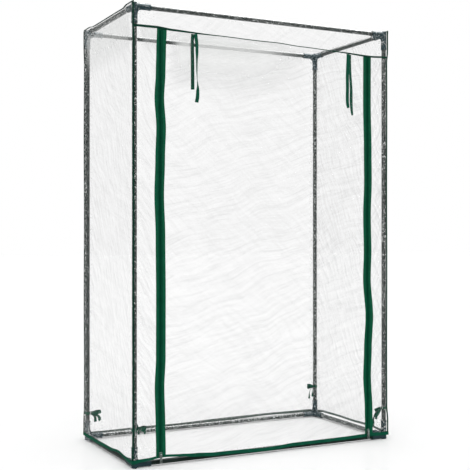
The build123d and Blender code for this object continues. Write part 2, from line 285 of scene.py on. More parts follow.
# How the cover hangs off its straight lines, in metres: rises of the hem along the front (x) and
# along the left side (y), rises of the door's seam (x), and the zips' waves to the right (z)
FRONT_HEM_RISE = [
    (-0.50, 0.001), (-0.47, 0.0049), (-0.386, 0.0117), (-0.33, 0.0085), (-0.283, 0.0042),
    (-0.20, -0.0009), (0.00, -0.0048), (0.10, 0.0004), (0.30, 0.0016), (0.44, 0.0028),
    (0.50, 0.0020),
]
LEFT_HEM_RISE = [
    (-0.25, 0.001), (-0.19, 0.005), (-0.12, 0.0125), (-0.03, 0.005), (0.10, 0.002), (0.25, 0.002),
]
RIGHT_HEM_RISE, BACK_HEM_RISE = 0.009, 0.006  # the back's at its right end
SEAM_RISE = [
    (-0.50, 0.0103), (-0.42, 0.0102), (-0.36, 0.0064), (-0.20, 0.0032), (0.02, 0.0006),
    (0.13, -0.0034), (0.29, -0.0086), (0.43, -0.0136), (0.48, -0.0113),
]
ZIP_WAVES = {
    "left": [
        (0.045, 0.0020), (0.134, 0.0004), (0.254, -0.0028), (0.353, 0.0016), (0.552, 0.0020),
        (0.750, 0.0004), (0.880, -0.0039), (0.999, -0.0006), (1.098, 0.0028), (1.197, -0.0035),
        (1.277, 0.0010), (1.346, 0.0028), (1.416, 0.0056),
    ],
    "right": [
        (0.048, 0.0059), (0.118, 0.0049), (0.236, -0.0018), (0.335, 0.0018), (0.454, 0.0084),
        (0.592, -0.0025), (0.691, 0.0006), (0.820, -0.0021), (0.948, 0.0020), (1.057, 0.0010),
        (1.235, -0.0025), (1.413, -0.0020),
    ],
}
SNUG = (0.0028, 0.0042)  # how far the cover draws in to a tube, sideways and down from the roof


def hem_rise(x, y):
    """How far the hem hangs above its level."""
    at_front = smooth((-y - 0.6 * FILM_BACK) / (0.4 * FILM_BACK))
    at_left = (x < -0.97 * FILM_SIDE) * (1 - at_front)
    at_right = (x > 0.97 * FILM_SIDE) * (1 - at_front)
    at_back = smooth((y - 0.9 * FILM_BACK) / (0.1 * FILM_BACK))
    at_back = at_back * smooth((FILM_SIDE - np.abs(x)) / 0.05)
    rise = eased(x, FRONT_HEM_RISE) * at_front + eased(y, LEFT_HEM_RISE) * at_left
    rise = rise + RIGHT_HEM_RISE * at_right * smooth((FILM_BACK - np.abs(y)) / 0.06)
    rise = rise + BACK_HEM_RISE * at_back * smooth((x + 0.1) / 0.3) * (1 - at_right)
    return rise + 0.0007 * np.sin(23 * x + 31 * y) * (1 - 0.5 * at_front)


def snug(grid):
    """Draws the cover's edges in to the posts and top rails, clear of the connectors."""
    x, y, z = (grid[..., k].copy() for k in range(3))
    from_side, from_face = np.abs(np.abs(x) - FILM_SIDE), np.abs(np.abs(y) - FILM_BACK)
    from_roof = np.abs(FILM_ROOF - z)
    upright = smooth((z - 0.07) / 0.05) * smooth((FILM_ROOF - 0.07 - z) / 0.05)
    upright = upright * np.exp(-(from_side + from_face) / 0.03) * np.where(y > 0, 0.45, 1.0)
    short = smooth((FILM_BACK - 0.06 - np.abs(y)) / 0.04) * np.exp(-(from_side + from_roof) / 0.03)
    long = smooth((FILM_SIDE - 0.06 - np.abs(x)) / 0.04) * np.exp(-(from_face + from_roof) / 0.03)
    grid[..., 0] -= np.sign(x) * SNUG[0] * np.maximum(upright, short)
    grid[..., 1] -= np.sign(y) * SNUG[0] * np.maximum(upright, long)
    grid[..., 2] -= SNUG[1] * np.maximum(short, long)
    return grid


def hang(grid):
    """Lets a sheet or tape follow the hem near its foot, and on the front also the door's seam."""
    x, y, z = grid[..., 0].copy(), grid[..., 1], grid[..., 2].copy()
    low = np.clip(1 - (z - HEM_Z) / 0.22, 0, 1) ** 2
    under = np.clip(1 - (SEAM_Z - z) / 0.25, 0, 1) ** 2 * (z <= SEAM_Z)
    over = np.clip(1 - (z - SEAM_Z) / 0.06, 0, 1) * (z > SEAM_Z)
    front = y < 0.9 * FILM_FRONT
    grid[..., 2] += hem_rise(x, y) * low + eased(x, SEAM_RISE) * (under + over) * front
    return snug(grid)


# ---------------------------------------------------------------- beads along a line


def bead_tree():
    """Geometry Nodes: beads at an even pitch along edges, as stitches or a zip coil's turns."""
    tree = bpy.data.node_groups.new("beads along a line", "GeometryNodeTree")
    tree.interface.new_socket("Geometry", in_out="INPUT", socket_type="NodeSocketGeometry")
    for name, kind in (
        ("Pitch", "Float"), ("Bead Size", "Vector"), ("Facing", "Vector"), ("Turn", "Float"),
        ("Unevenness", "Float"), ("Seed", "Int"), ("Material", "Material"),
    ):
        tree.interface.new_socket(name, in_out="INPUT", socket_type="NodeSocket" + kind)
    tree.interface.new_socket("Geometry", in_out="OUTPUT", socket_type="NodeSocketGeometry")
    given = tree.nodes.new("NodeGroupInput").outputs

    def step(kind, sockets=None, output=0, **settings):
        return node(tree, kind, sockets, **settings).outputs[output]

    line = step("GeometryNodeMeshToCurve", {"Mesh": given["Geometry"]})
    even = step(
        "GeometryNodeResampleCurve", {"Curve": line, "Length": given["Pitch"]}, mode="LENGTH"
    )
    faced = step("FunctionNodeAlignRotationToVector", {"Vector": given["Facing"]}, axis="Z")
    lined = step(
        "FunctionNodeAlignRotationToVector",
        {"Rotation": faced, "Vector": step("GeometryNodeInputTangent")}, axis="X", pivot_axis="Z",
    )
    turn = step("ShaderNodeCombineXYZ", {"Z": given["Turn"]})
    turned_bead = step(
        "FunctionNodeRotateRotation", {"Rotation": lined, "Rotate By": turn}, rotation_space="LOCAL"
    )
    least = maths(tree, "SUBTRACT", 1.0, given["Unevenness"])
    uneven = step(
        "FunctionNodeRandomValue", {"Min": least, "Max": 1.0, "Seed": given["Seed"]}, 1,
        data_type="FLOAT",
    )
    bead = step("GeometryNodeMeshUVSphere", {"Segments": 8, "Rings": 5, "Radius": 1.0})
    shaped = step("GeometryNodeTransform", {"Geometry": bead, "Scale": given["Bead Size"]})
    strung = step(
        "GeometryNodeInstanceOnPoints",
        {"Points": even, "Instance": shaped, "Rotation": turned_bead, "Scale": uneven},
    )
    real = step("GeometryNodeRealizeInstances", {"Geometry": strung})
    soft = step("GeometryNodeSetShadeSmooth", {"Geometry": real})
    dyed = step("GeometryNodeSetMaterial", {"Geometry": soft, "Material": given["Material"]})
    result = tree.nodes.new("NodeGroupOutput")
    tree.links.new(dyed, result.inputs["Geometry"])
    return tree


def beads(name, lines, pitch, bead_size, material, facing=(0, -1, 0), turn=0.0, seed=1):
    """A plain mesh of beads along each line of points."""
    vertices, edges = [], []
    for line in lines:
        start = len(vertices)
        vertices += [tuple(p) for p in line]
        edges += [(start + k, start + k + 1) for k in range(len(line) - 1)]
    guide = new_object(name + "_guide", vertices, [], edges=edges)
    modifier = guide.modifiers.new("beads", "NODES")
    modifier.node_group = BEADS
    values = {
        "Pitch": pitch, "Bead Size": bead_size, "Facing": facing, "Turn": turn,
        "Unevenness": 0.12, "Seed": seed, "Material": material,
    }
    for item in BEADS.interface.items_tree:
        if item.in_out == "INPUT" and item.name in values:
            modifier[item.identifier] = values[item.name]
    evaluated = guide.evaluated_get(bpy.context.evaluated_depsgraph_get())
    mesh = bpy.data.meshes.new_from_object(evaluated)
    mesh.name = name
    bpy.data.objects.remove(guide)
    return linked(bpy.data.objects.new(name, mesh))


# ---------------------------------------------------------------- materials


COLOUR_A, COLOUR_B, COLOUR_OUT = 6, 7, 2  # a Mix node's sockets for colours


def node(tree, kind, sockets=None, **settings):
    """Adds a node. A socket takes a value, or another node's output to link from."""
    made = tree.nodes.new(kind)
    for key, value in settings.items():
        setattr(made, key, value)
    for key, value in (sockets or {}).items():
        if isinstance(value, bpy.types.NodeSocket):
            tree.links.new(value, made.inputs[key])
        else:
            made.inputs[key].default_value = value
    return made


def feed(tree, source, target):
    tree.links.new(source, target)


def maths(tree, operation, first, second=None, **settings):
    """A Math node's result, from one or two values or outputs."""
    given = {0: first} if second is None else {0: first, 1: second}
    return node(tree, "ShaderNodeMath", given, operation=operation, **settings).outputs[0]


def noise(tree, vector, scale, **values):
    """A Noise Texture's value."""
    return node(tree, "ShaderNodeTexNoise", {"Vector": vector, "Scale": scale, **values}).outputs[0]


def ranged(tree, value, low, high, to_low=0.0, to_high=1.0):
    made = node(
        tree, "ShaderNodeMapRange",
        {"Value": value, "From Min": low, "From Max": high, "To Min": to_low, "To Max": to_high},
    )
    return made.outputs[0]


def mixed(tree, factor, first, second):
    """Colour from first to second by a factor; each is (r, g, b) or another node's output."""
    first, second = (c if isinstance(c, bpy.types.NodeSocket) else (*c, 1) for c in (first, second))
    given = {"Factor": factor, COLOUR_A: first, COLOUR_B: second}
    return node(tree, "ShaderNodeMix", given, data_type="RGBA").outputs[COLOUR_OUT]


def shader_group(name, numbers, *outputs):
    """An empty shader group with a Vector input, number inputs with defaults, and outputs."""
    tree = bpy.data.node_groups.new(name, "ShaderNodeTree")
    tree.interface.new_socket("Vector", in_out="INPUT", socket_type="NodeSocketVector")
    for socket, default in numbers.items():
        made = tree.interface.new_socket(socket, in_out="INPUT", socket_type="NodeSocketFloat")
        made.default_value = default
    for socket in outputs:
        tree.interface.new_socket(socket, in_out="OUTPUT", socket_type="NodeSocketFloat")
    return tree, tree.nodes.new("NodeGroupInput").outputs, tree.nodes.new("NodeGroupOutput").inputs


def woven_group():
    """Plain weave on a strip's own UV map, in metres: height, dark gaps and a slow tone."""
    tree, given, result = shader_group(
        "plain weave", {"Warp Pitch": 0.0008, "Weft Pitch": 0.0006}, "Height", "Gap", "Tone"
    )
    flat = node(tree, "ShaderNodeSeparateXYZ", {0: given["Vector"]}).outputs

    def thread(coordinate, pitch):
        turns = maths(tree, "DIVIDE", coordinate, pitch)
        return maths(tree, "SINE", maths(tree, "MULTIPLY", turns, math.tau))

    warp, weft = thread(flat[0], given["Warp Pitch"]), thread(flat[1], given["Weft Pitch"])
    crossed = maths(tree, "MULTIPLY", warp, weft)
    feed(tree, ranged(tree, crossed, -1.0, 1.0), result["Height"])
    # The weave's gaps, darkened in the materials as painted shade
    feed(tree, ranged(tree, crossed, -0.15, -0.9), result["Gap"])
    feed(tree, noise(tree, given["Vector"], 38.0, Detail=4.0), result["Tone"])
    return tree


def grain_group():
    """Fine pitted grain and slow mottling, for moulded plastic, coating and cast metal."""
    numbers = {"Grain Scale": 900.0, "Mottle Scale": 14.0}
    tree, given, result = shader_group("grain and mottling", numbers, "Height", "Mottle", "Scuff")
    place = given["Vector"]
    slow = noise(tree, place, given["Mottle Scale"], Detail=5.0, Roughness=0.6)
    scratch = noise(tree, place, 95.0, Detail=6.0, Roughness=0.72, Distortion=1.6)
    feed(tree, noise(tree, place, given["Grain Scale"], Detail=3.0), result["Height"])
    feed(tree, slow, result["Mottle"])
    feed(tree, ranged(tree, scratch, 0.62, 0.74), result["Scuff"])
    return tree


def spaced(values):
    """Socket names from keywords."""
    return {key.replace("_", " "): value for key, value in values.items()}


def emptied(owner):
    """The node tree of a new material or world, cleared."""
    owner.use_nodes = True
    owner.node_tree.nodes.clear()
    return owner.node_tree


def new_material(name, **values):
    """A material with a Principled BSDF, whose constant values are set on its own sockets."""
    made = bpy.data.materials.new(name)
    tree = emptied(made)
    bsdf = node(tree, "ShaderNodeBsdfPrincipled", spaced(values))
    node(tree, "ShaderNodeOutputMaterial", {"Surface": bsdf.outputs[0]})
    return made, tree, bsdf


def grouped(tree, group, vector, **values):
    """A shader group's outputs, with the given values on its own inputs."""
    given = {"Vector": vector, **spaced(values)}
    return node(tree, "ShaderNodeGroup", given, node_tree=group).outputs


def on_object(tree):
    return node(tree, "ShaderNodeTexCoord").outputs["Object"]


def on_strip(tree):
    return node(tree, "ShaderNodeUVMap", uv_map="flat").outputs[0]


def grained(tree, **values):
    """The grain group on the piece's own Object coordinates."""
    return grouped(tree, GRAIN, on_object(tree), **values)


SLOW_RANGE = (0.3, 0.7)  # where the slow noise goes from one tone to the other


def finished(tree, bsdf, colour, mask, least, most, height, strength, distance, span=SLOW_RANGE):
    """Feeds a material's colour, its roughness from least to most by a mask, and its bump."""
    feed(tree, colour, bsdf.inputs["Base Color"])
    feed(tree, ranged(tree, mask, *span, least, most), bsdf.inputs["Roughness"])
    bump = {"Height": height, "Strength": strength, "Distance": distance}
    feed(tree, node(tree, "ShaderNodeBump", bump).outputs[0], bsdf.inputs["Normal"])


def slow_tone(tree, slow, dark, light):
    return mixed(tree, ranged(tree, slow, *SLOW_RANGE), dark, light)


def wear_and_glint_finish(name, ior, gloss, tones, bare_and_glint_tone, wear_and_glints, roughness, grain_scale, bump):
    """A mottled finish on Object coordinates, paler in small patches: real wear when few patches
    are asked for, painted highlights when many are.
    """
    made, tree, bsdf = new_material(name, IOR=ior, Specular_IOR_Level=gloss)
    mottle = grained(tree, Mottle_Scale=14.0)["Mottle"]
    patches = noise(tree, on_object(tree), 170.0, Detail=4.0, Roughness=0.65)
    patch = ranged(tree, patches, 0.66 - wear_and_glints, 0.72 - wear_and_glints)
    colour = mixed(tree, patch, mixed(tree, ranged(tree, mottle, 0.35, 0.65), *tones), bare_and_glint_tone)
    height = grained(tree, Grain_Scale=grain_scale)["Height"]
    finished(tree, bsdf, colour, mottle, *roughness, height, *bump)
    return made


def coated_steel(name, bare_and_glint_tone, wear_and_glints, gloss=0.40):
    """Dark grey-green powder coat on drawn steel tube."""
    tones = (0.006, 0.012, 0.010), (0.014, 0.022, 0.019)
    return wear_and_glint_finish(name, 1.5, gloss, tones, bare_and_glint_tone, wear_and_glints, (0.22, 0.36), 70.0, (0.5, 0.0009))


def moulded_plastic(name, bare_and_glint_tone, wear_and_glints):
    """Slate-blue moulded plastic with a fine spark-eroded grain."""
    tones = (0.006, 0.022, 0.027), (0.013, 0.036, 0.043)
    return wear_and_glint_finish(name, 1.49, 0.12, tones, bare_and_glint_tone, wear_and_glints, (0.40, 0.55), 1300.0, (0.45, 0.0003))


def cast_metal(name, dark, light):
    """Tumbled zinc casting: soft edges of tone and a fine pitted face."""
    made, tree, bsdf = new_material(name, Metallic=1.0)
    grain = grained(tree, Grain_Scale=1800.0, Mottle_Scale=160.0)
    tone = slow_tone(tree, grain["Mottle"], dark, light)
    finished(tree, bsdf, tone, grain["Scuff"], 0.28, 0.5, grain["Height"], 0.4, 0.0001, (0.0, 1.0))
    return made


def woven_green(name, dark, light, warp=0.0008, weft=0.0006):
    """Bottle-green polyester weave on the strip's flat UV map."""
    made, tree, bsdf = new_material(name, Specular_IOR_Level=0.02)
    weave = grouped(tree, WEAVE, on_strip(tree), Warp_Pitch=warp, Weft_Pitch=weft)
    tone = slow_tone(tree, weave["Tone"], dark, light)
    # Painted shade: the weave's gaps darkened to 0.35 of the dark tone
    colour = mixed(tree, weave["Gap"], tone, [c * 0.35 for c in dark])
    finished(tree, bsdf, colour, weave["Tone"], 0.58, 0.74, weave["Height"], 0.8, 0.00012)
    return made


def thread_green(name, dark, light, roughness):
    """Twisted thread or nylon coil, with a slow change of tone along it."""
    made, tree, bsdf = new_material(name, Specular_IOR_Level=0.0)
    grain = grained(tree, Grain_Scale=2600.0, Mottle_Scale=60.0)
    tone, rougher = slow_tone(tree, grain["Mottle"], dark, light), roughness + 0.12
    finished(tree, bsdf, tone, grain["Mottle"], roughness, rougher, grain["Height"], 0.5, 0.0001)
    return made


def crease_group():
    """Film that was folded and unpacked: streaks parted by thin clear creases, and fine crumple."""
    numbers = {"Lean": 0.0, "Streak Width": 0.03, "Streak Length": 0.16}
    tree, given, result = shader_group("film creases", numbers, "Haze_and_Shade", "Crumple")
    flat = given["Vector"]

    def vector_maths(operation, first, second):
        made = node(tree, "ShaderNodeVectorMath", {0: first, 1: second}, operation=operation)
        return made.outputs[0]

    bend = node(tree, "ShaderNodeTexNoise", {"Vector": flat, "Scale": 5.0, "Detail": 1.0})
    shift = vector_maths("MULTIPLY", bend.outputs["Color"], (0.07, 0.07, 0.07))
    leaning = node(
        tree, "ShaderNodeVectorRotate",
        {"Vector": vector_maths("ADD", flat, shift), "Angle": given["Lean"]},
        rotation_type="Z_AXIS",
    )
    span = {"X": given["Streak Length"], "Y": given["Streak Width"], "Z": 1.0}
    span = node(tree, "ShaderNodeCombineXYZ", span).outputs[0]
    laid = vector_maths("DIVIDE", leaning.outputs[0], span)
    streak = noise(tree, laid, 1.0, Detail=4.0, Roughness=0.62, Distortion=0.15)
    closer = vector_maths("MULTIPLY", laid, (1.6, 1.9, 1.0))
    second = noise(tree, closer, 1.0, Detail=2.0, Distortion=0.3)
    from_middle = maths(tree, "ABSOLUTE", maths(tree, "SUBTRACT", second, 0.5))
    line = ranged(tree, from_middle, 0.045, 0.010)
    left = maths(tree, "SUBTRACT", 1.0, maths(tree, "MULTIPLY", line, 0.75))
    film_tone_mask = maths(tree, "MULTIPLY", ranged(tree, streak, 0.38, 0.66), left)
    crumple = noise(tree, flat, 130.0, Detail=3.0, Roughness=0.6, Distortion=1.2)
    # The streaked haze is partly the film's own cloudiness and partly painted shade for the darker
    # surroundings that its creases reflect
    feed(tree, film_tone_mask, result["Haze_and_Shade"])
    feed(tree, crumple, result["Crumple"])
    return tree


# A film's masks of painted light, held at its mesh's points: white glints over tubes and a pale
# glare
GLINT_ATTRIBUTE, GLARE_ATTRIBUTE = "painted_glint_over_tube", "painted_glare"


def clear_film(name, lean, streak, haze_and_shade, clear=0.020):
    """Clear PVC, nearly all see-through: dark haze in streaks, partly painted shade; painted white
    glints over tubes and painted pale glare where their masks are set.
    """
    made, tree, bsdf = new_material(name, IOR=1.54, Specular_IOR_Level=0.5)
    width, length = streak
    crease = grouped(
        tree, CREASES, on_strip(tree), Lean=lean, Streak_Width=width, Streak_Length=length
    )
    held, painted_glare = (
        node(tree, "ShaderNodeAttribute", attribute_name=name).outputs["Fac"]
        for name in (GLINT_ATTRIBUTE, GLARE_ATTRIBUTE)
    )
    # Painted highlight: white glints of the creased film where it lies over a tube or connector
    painted_glints = maths(tree, "MULTIPLY", ranged(tree, crease["Crumple"], 0.565, 0.635), held)
    edge = node(tree, "ShaderNodeLayerWeight", {"Blend": 0.30}).outputs["Facing"]
    alpha = clear
    for part, share in ((crease["Haze_and_Shade"], haze_and_shade), (painted_glints, 0.72), (painted_glare, 0.72), (edge, 0.08)):
        alpha = maths(tree, "ADD", maths(tree, "MULTIPLY", part, share), alpha, use_clamp=True)
    feed(tree, alpha, bsdf.inputs["Alpha"])
    # Dark grey of the streaked haze: partly the film's own cloudiness, partly painted shade
    grey = mixed(tree, crease["Haze_and_Shade"], (0.20, 0.21, 0.21), (0.10, 0.11, 0.11))
    # Pale colour of the painted glare; the film turns white where glints and glare are painted
    pale = mixed(tree, painted_glare, (0.93, 0.94, 0.93), (0.70, 0.71, 0.70))
    white = maths(tree, "MAXIMUM", ranged(tree, painted_glints, 0.0, 0.2), ranged(tree, painted_glare, 0.0, 0.75))
    finished(
        tree, bsdf, mixed(tree, white, grey, pale), crease["Haze_and_Shade"], 0.08, 0.22,
        crease["Crumple"], 0.5, 0.002, (0.0, 1.0),
    )
    return made


def studio_floor():
    """White studio board with a slight gloss."""
    made = bpy.data.materials.new("studio floor")
    tree = emptied(made)
    grain = grained(tree, Grain_Scale=60.0, Mottle_Scale=2.0)
    tone = mixed(tree, grain["Mottle"], (0.93, 0.93, 0.93), (0.95, 0.95, 0.95))
    matt = node(tree, "ShaderNodeBsdfDiffuse", {"Color": tone})
    gloss = node(tree, "ShaderNodeBsdfGlossy", {"Color": (0.9, 0.9, 0.9, 1), "Roughness": 0.16})
    both = node(tree, "ShaderNodeMixShader", {0: 0.10, 1: matt.outputs[0], 2: gloss.outputs[0]})
    node(tree, "ShaderNodeOutputMaterial", {"Surface": both.outputs[0]})
    return made


WEAVE, GRAIN, CREASES = woven_group(), grain_group(), crease_group()
BEADS = bead_tree()
STEEL = coated_steel("coated steel", (0.085, 0.100, 0.092), 0.0)
# Painted shade: a darker, nearly unglossed copy of the coated steel for the front and left bottom
# rails, for the shade down by the floor
STEEL_PAINTED_SHADE = coated_steel("coated steel, painted_shade", (0.050, 0.060, 0.055), 0.0, 0.04)
# Painted highlights: copies of the coated steel flecked with pale patches for the creased film's
# reflections on the rear posts and rails
STEEL_FEWER_PAINTED_GLINTS = coated_steel("coated steel, fewer_painted_glints", (0.30, 0.32, 0.31), 0.07, 0.30)
STEEL_PAINTED_GLINTS = coated_steel("coated steel, rubbed", (0.36, 0.38, 0.37), 0.14)
PLASTIC = moulded_plastic("moulded plastic", (0.045, 0.070, 0.078), 0.02)
# Painted highlights: a copy of the moulded plastic flecked with pale patches for the creased film's
# reflections on the rear connectors
PLASTIC_PAINTED_GLINTS = moulded_plastic("moulded plastic, rubbed", (0.34, 0.38, 0.40), 0.12)
DOOR_FILM = clear_film("clear film, door", math.radians(-17), (0.017, 0.19), 0.115, 0.026)
SIDE_FILM = clear_film("clear film, sides", math.radians(-62), (0.011, 0.10), 0.150, 0.026)
COVER_FILM = clear_film("clear film, roof and back", math.radians(-40), (0.020, 0.18), 0.060)
SLIDER_METAL = cast_metal("slider metal", (0.05, 0.10, 0.08), (0.16, 0.20, 0.18))
PULL_METAL = cast_metal("pull metal", (0.08, 0.10, 0.09), (0.20, 0.22, 0.21))
BINDING_CLOTH = woven_green("binding cloth", (0.0030, 0.026, 0.016), (0.0060, 0.042, 0.026))
# Painted highlight: a paler copy of the green hem cloth, for the film's glare in front of the back
# and right hems
HEM_CLOTH_PAINTED_GLARE = woven_green("hem cloth under the film", (0.11, 0.15, 0.13), (0.17, 0.21, 0.19))
HEM_CLOTH = woven_green("hem cloth", (0.0025, 0.062, 0.034), (0.0055, 0.090, 0.049))
ZIP_CLOTH = woven_green("zip cloth", (0.0030, 0.076, 0.036), (0.0060, 0.098, 0.048))
ZIP_CORE = woven_green(
    "zip core cloth", (0.0012, 0.050, 0.025), (0.0024, 0.064, 0.032), 0.0006, 0.0005
)
RIBBON_CLOTH = woven_green("ribbon cloth", (0.0030, 0.060, 0.034), (0.0060, 0.086, 0.048), 0.0006)
THREAD = thread_green("sewing thread", (0.004, 0.070, 0.038), (0.010, 0.110, 0.062), 0.50)
COIL = thread_green("nylon coil", (0.0012, 0.046, 0.022), (0.0024, 0.062, 0.031), 0.55)


def dress(piece, material, body=FRAME_BODY):
    """Gives a piece its material and the body it moves with."""
    if material is not None:
        piece.data.materials.clear()
        piece.data.materials.append(material)
    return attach(piece, body)


# ---------------------------------------------------------------- film


def relief(u, v, seed, lean, pull=1.0):
    """Height of film that was folded up, unpacked and pulled over a frame."""
    along = u * math.cos(lean) + v * math.sin(lean) + 0.030 * lumps(u, v, 0.21, 0.27, seed)
    over = v * math.cos(lean) - u * math.sin(lean)
    billow = 0.0030 * lumps(u, v, 0.24, 0.31, seed + 1)
    pulls = 0.0009 * pull * lumps(over, along, 0.021, 0.17, seed + 2)
    pulls += 0.0005 * pull * lumps(over + 0.3 * along, along, 0.012, 0.09, seed + 3)
    crumple = sum(
        depth * np.abs(lumps(u, v, span, span * 1.2, seed + 4 + k))
        for k, (span, depth) in enumerate(((0.070, 0.0016), (0.031, 0.0008), (0.015, 0.0004)))
    )
    packed = 0.0006 * sum(
        np.exp(-(((c + 0.004 * lumps(u, v, 0.2, 0.2, seed + 8)) % 0.26 - 0.13) / 0.0035) ** 2)
        for c in (u, v)
    )
    return billow + pulls - crumple + packed


def slack(*distances):
    """Nearly 0 where the film is held, and 1 well away from there."""
    return 0.10 + 0.90 * smooth(np.minimum.reduce(distances) / 0.075)


# How strongly painted white glints show on the film over a tube or connector, by the start of its
# name
GLINTS_OVER = {
    "post_front": 0.55, "post_back": 1.0, "rail_front": 0.45, "rail_left": 0.85,
    "rail_right": 0.85, "rail_back": 0.85, "connector_front": 0.40, "connector_back_left": 1.0,
}


def painted_glints_over_tubes(points):
    """Painted white glints on the film at each point, by the tube or connector it lies over."""
    glint_strength = np.zeros(len(points))
    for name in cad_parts:
        for start, share in GLINTS_OVER.items():
            if name.startswith(start):
                low, high = (np.array(v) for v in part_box(name))
                gap = np.linalg.norm(np.maximum(low - points, points - high).clip(0), axis=1)
                glint_strength = np.maximum(glint_strength, share * (1 - smooth((gap - 0.004) / 0.012)))
    return glint_strength


def film_sheet(name, nodes, place, width, height, material, painted_glare=None):
    """A film panel: place(u, v) gives its mesh grid for flat coordinates from its lower corner."""
    columns, rows = round(width / GRID) + 1, round(height / GRID) + 1
    u, v = np.meshgrid(np.linspace(0, width, columns), np.linspace(0, height, rows))
    points = hang(place(u, v)).reshape(-1, 3)
    flat = rows_of(u, v).reshape(-1, 2)
    piece = new_object(name, points, grid_faces(rows, columns), flat)
    # Painted glare, where the panel has a mask for it
    film_tone_mask = np.zeros(len(points)) if painted_glare is None else painted_glare(points)
    for label, values in ((GLINT_ATTRIBUTE, painted_glints_over_tubes(points)), (GLARE_ATTRIBUTE, film_tone_mask)):
        attribute = piece.data.attributes.new(label, "FLOAT", "POINT")
        attribute.data.foreach_set("value", values.astype(np.float32))
    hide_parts(*nodes)
    dress(piece, material)
    return piece


def front_film(x, z, seed, lean, held, depth=1.0):
    """Grid on the cover's front plane, bulging a little and waving with the zips beside it."""
    y = FILM_FRONT + depth * held * relief(x, z, seed, lean)
    for side, _ in SIDES:
        near = np.exp(-np.abs(x - ZIP_CENTRE[side]) / 0.03)
        x = x + near * eased(z, ZIP_WAVES[side])
    return rows_of(x, y, z)


def cover_sheet():
    """Valance, roof and back in one length, folded over the two long top rails."""
    route = rounded_route(
        [(FILM_FRONT, SEAM_Z), (FILM_FRONT, FILM_ROOF), (FILM_BACK, FILM_ROOF), (FILM_BACK, HEM_Z)],
        FILM_BEND, GRID,
    )
    length = float(np.linalg.norm(np.diff(route, axis=0), axis=1).sum())
    run = np.linspace(0, length, len(route))
    way = unit(np.gradient(route, axis=0))
    front_fold, back_fold = FILM_ROOF - SEAM_Z, FILM_ROOF - SEAM_Z + FILM_BACK - FILM_FRONT

    def place(u, v):
        x = u - FILM_SIDE
        y, z = np.interp(v, run, route[:, 0]), np.interp(v, run, route[:, 1])
        way_y, way_z = np.interp(v, run, way[:, 0]), np.interp(v, run, way[:, 1])
        folds = np.minimum(np.abs(v - front_fold), np.abs(v - back_fold))
        held = slack(FILM_SIDE - np.abs(x), folds + 0.012, v + 0.01, length - v + 0.02)
        roof = np.clip(np.minimum(v - front_fold, back_fold - v), 0, None)
        sag = 0.006 * smooth(roof / 0.25) * smooth((FILM_SIDE - np.abs(x)) / 0.4)
        shift = held * relief(u, v, 11, 1.2) - sag
        return rows_of(x, y - way_z * shift, z + way_y * shift)

    film_sheet(
        "cover_sheet", ["valance_film", "roof_film", "back_film"], place, 2 * FILM_SIDE, length,
        COVER_FILM,
    )


def painted_glare_top(points):
    """Painted glare: a faint pale band under the roof on the left, away from the posts."""
    x, y, z = np.abs(points[:, 0]), np.abs(points[:, 1]), points[:, 2]
    from_post = np.hypot(FILM_SIDE - x, FILM_BACK - y)
    band = smooth((z - 1.31) / 0.11) * smooth((FILM_ROOF - 0.015 - z) / 0.03)
    return 0.55 * band * smooth((from_post - 0.022) / 0.025) * (points[:, 0] < 0)


def side_sheets():
    width, height = FILM_BACK - FILM_FRONT, FILM_ROOF - HEM_Z
    for side, turn in SIDES:

        def place(u, v, turn=turn):
            y, z = FILM_FRONT + u, HEM_Z + v
            held = slack(u, width - u, v + 0.02, height - v)
            from_edge = smooth(np.minimum(u, width - u) / 0.2)
            inward = 0.004 * from_edge * smooth(np.minimum(v, height - v) / 0.3)
            bulge = held * relief(u, v, 31 + 7 * turn, math.pi / 2 - 0.12)
            return rows_of(turn * (FILM_SIDE - inward + bulge), y, z)

        film_sheet(
            f"side_sheet_{side}", [f"{side}_film"], place, width, height,
            SIDE_FILM, painted_glare_top,
        )


def strip_sheets():
    height = SEAM_Z - HEM_Z
    for side, turn in SIDES:
        low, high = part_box(f"front_{side}_film")
        width = high.x - low.x
        inner = high.x if turn < 0 else low.x

        def place(u, v, turn=turn, inner=inner, width=width):
            held = slack(u + 0.015, width - u, v + 0.02, height - v)
            return front_film(
                inner + turn * u, HEM_Z + v, 51 + turn, math.pi / 2 - 0.05, held, 0.7
            )

        film_sheet(
            f"strip_sheet_{side}", [f"front_{side}_film"], place, width, height,
            SIDE_FILM, painted_glare_top,
        )


def door_sheet():
    low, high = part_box("door_film")
    width, height = high.x - low.x, SEAM_Z - HEM_Z

    def place(u, v):
        held = slack(u + 0.01, width - u + 0.01, v + 0.02, height - v)
        quiet = 0.35 + 0.65 * smooth((height - v - 0.12) / 0.25)
        return front_film(low.x + u, HEM_Z + v, 71, 0.42, held * quiet)

    def painted_glare(points):
        """Painted glare at the top of the door, a pale band for the light the film reflects there,
        kept clear under a ribbon.
        """
        x, z = points[:, 0], points[:, 2]
        across = smooth((x + 0.385) / 0.07) * smooth((0.18 - x) / 0.26)
        down = smooth((SEAM_Z - z + 0.01) / 0.03) * smooth((z - 1.20) / 0.20)
        tied = np.exp(-(((x - middle("door_tie_left_inner").x) / 0.011) ** 4)) * (z > 1.22)
        return across * down * (1 - tied)

    piece = film_sheet(
        "door_sheet", ["door_film"], place, width, height, DOOR_FILM, painted_glare
    )
    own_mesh(piece)


# ---------------------------------------------------------------- tapes


def stitches(name, lines, body=FRAME_BODY, facing=(0, -1, 0), seed=1):
    piece = beads(name, lines, STITCH_PITCH, STITCH, THREAD, facing, STITCH_LEAN, seed)
    return dress(piece, None, body)


